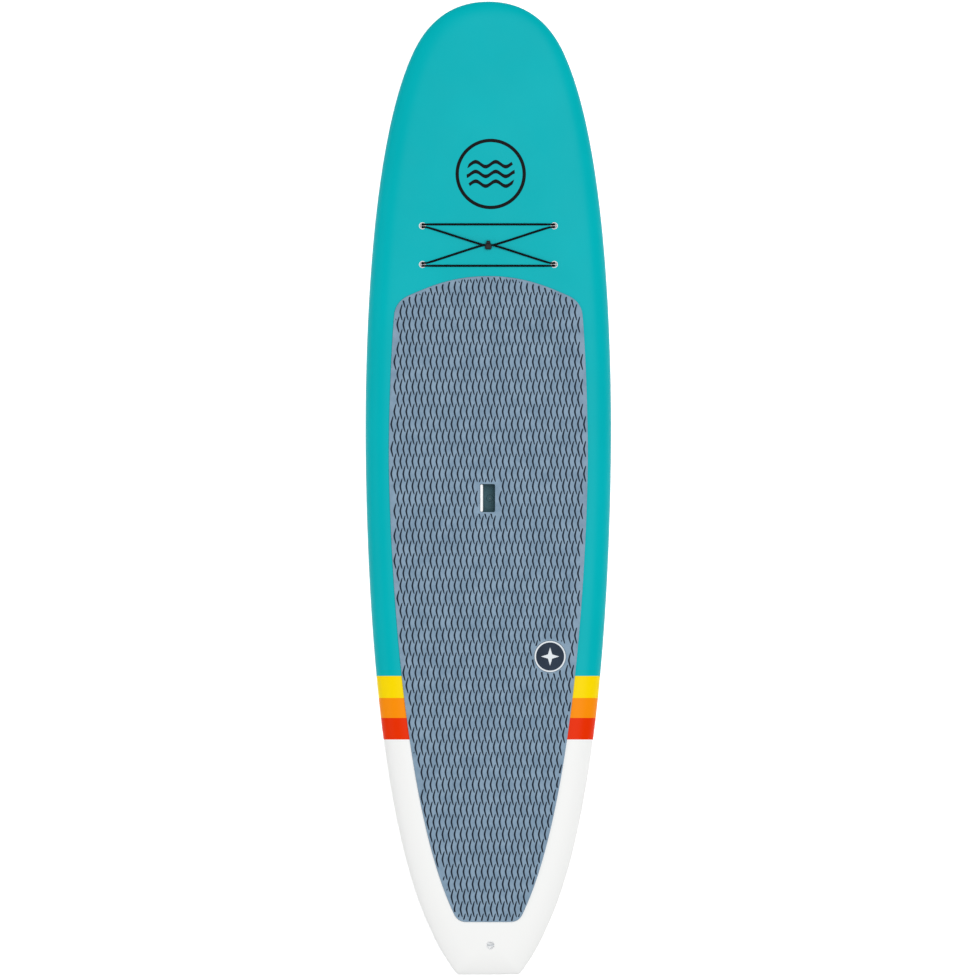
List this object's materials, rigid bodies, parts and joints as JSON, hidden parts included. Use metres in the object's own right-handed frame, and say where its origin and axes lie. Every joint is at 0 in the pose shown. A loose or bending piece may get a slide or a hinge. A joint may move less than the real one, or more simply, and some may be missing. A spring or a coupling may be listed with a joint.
{
  "type": "stand up paddleboard",
  "caption": "Rigid stand up paddleboard with a grooved foam deck pad, recessed hand hold, leash plug, cargo bungee with a sprung cord lock, and removable fins under the tail.",
  "frame": {"origin": "on the flat of the hull, on the centreline at mid-length", "axes": "+Z out of the deck, +Y towards the nose along the centreline, +X to starboard; the board lies with its deck up"},
  "size_m": [0.808, 3.2, 0.3593],
  "materials": {
    "shell_lacquer": "gloss lacquer over laminate: teal deck and rails, with yellow, orange and red bands, a white tail and a white bottom",
    "foam_core": "expanded polystyrene bead foam",
    "stringer_wood": "planed softwood",
    "pad_foam": "grey-blue EVA foam with darker diamond grooves",
    "badge_foam": "navy EVA foam with a white print",
    "slate_plastic": "textured moulded plastic",
    "white_plastic": "moulded plastic",
    "black_plastic": "moulded plastic, fine grain",
    "fin_plastic": "moulded nylon, satin",
    "bungee_sheath": "braided polyester sheath",
    "seal_rubber": "matt",
    "vent_membrane": "woven membrane",
    "steel": "passivated stainless steel",
    "brass": "turned brass"
  },
  "bodies": {
    "board": {"laminate_shell": "shell_lacquer", "core_port": "foam_core", "core_starboard": "foam_core", "stringer": "stringer_wood", "deck_pad": "pad_foam", "pad_badge": "badge_foam", "handle_cup": "slate_plastic", "handle_grip": "white_plastic", "vent_body": "slate_plastic", "vent_membrane": "vent_membrane", "vent_o_ring": "seal_rubber", "vent_cap": "slate_plastic", "leash_cup": "white_plastic", "leash_bar": "steel", "bungee_insert_fore_port": "white_plastic", "bungee_bar_fore_port": "steel", "bungee_insert_fore_starboard": "white_plastic", "bungee_bar_fore_starboard": "steel", "bungee_insert_aft_port": "white_plastic", "bungee_bar_aft_port": "steel", "bungee_insert_aft_starboard": "white_plastic", "bungee_bar_aft_starboard": "steel", "bungee_cord": "bungee_sheath", "cord_lock_body": "black_plastic", "cord_lock_spring": "steel", "fin_box": "black_plastic", "side_box_port": "black_plastic", "side_fin_port": "fin_plastic", "grub_screw_fore_port": "steel", "grub_screw_aft_port": "steel", "side_box_starboard": "black_plastic", "side_fin_starboard": "fin_plastic", "grub_screw_fore_starboard": "steel", "grub_screw_aft_starboard": "steel"},
    "fin": {"center_fin": "fin_plastic", "fin_pin": "brass", "fin_plate": "steel", "fin_screw": "steel"},
    "lock_button": {"cord_lock_button": "black_plastic"}
  },
  "joints": [
    {"name": "fin_slide", "type": "slide", "parent": "board", "child": "fin", "axis": [0, 0.9974, -0.072], "range_m": [-0.028, 0.028]},
    {"name": "lock_button_press", "type": "slide", "parent": "board", "child": "lock_button", "axis": [0, -1, 0], "range_m": [0, 0.004], "stiffness_N_per_m": 800, "springref_m": -0.008, "deforming": ["cord_lock_spring"]}
  ]
}
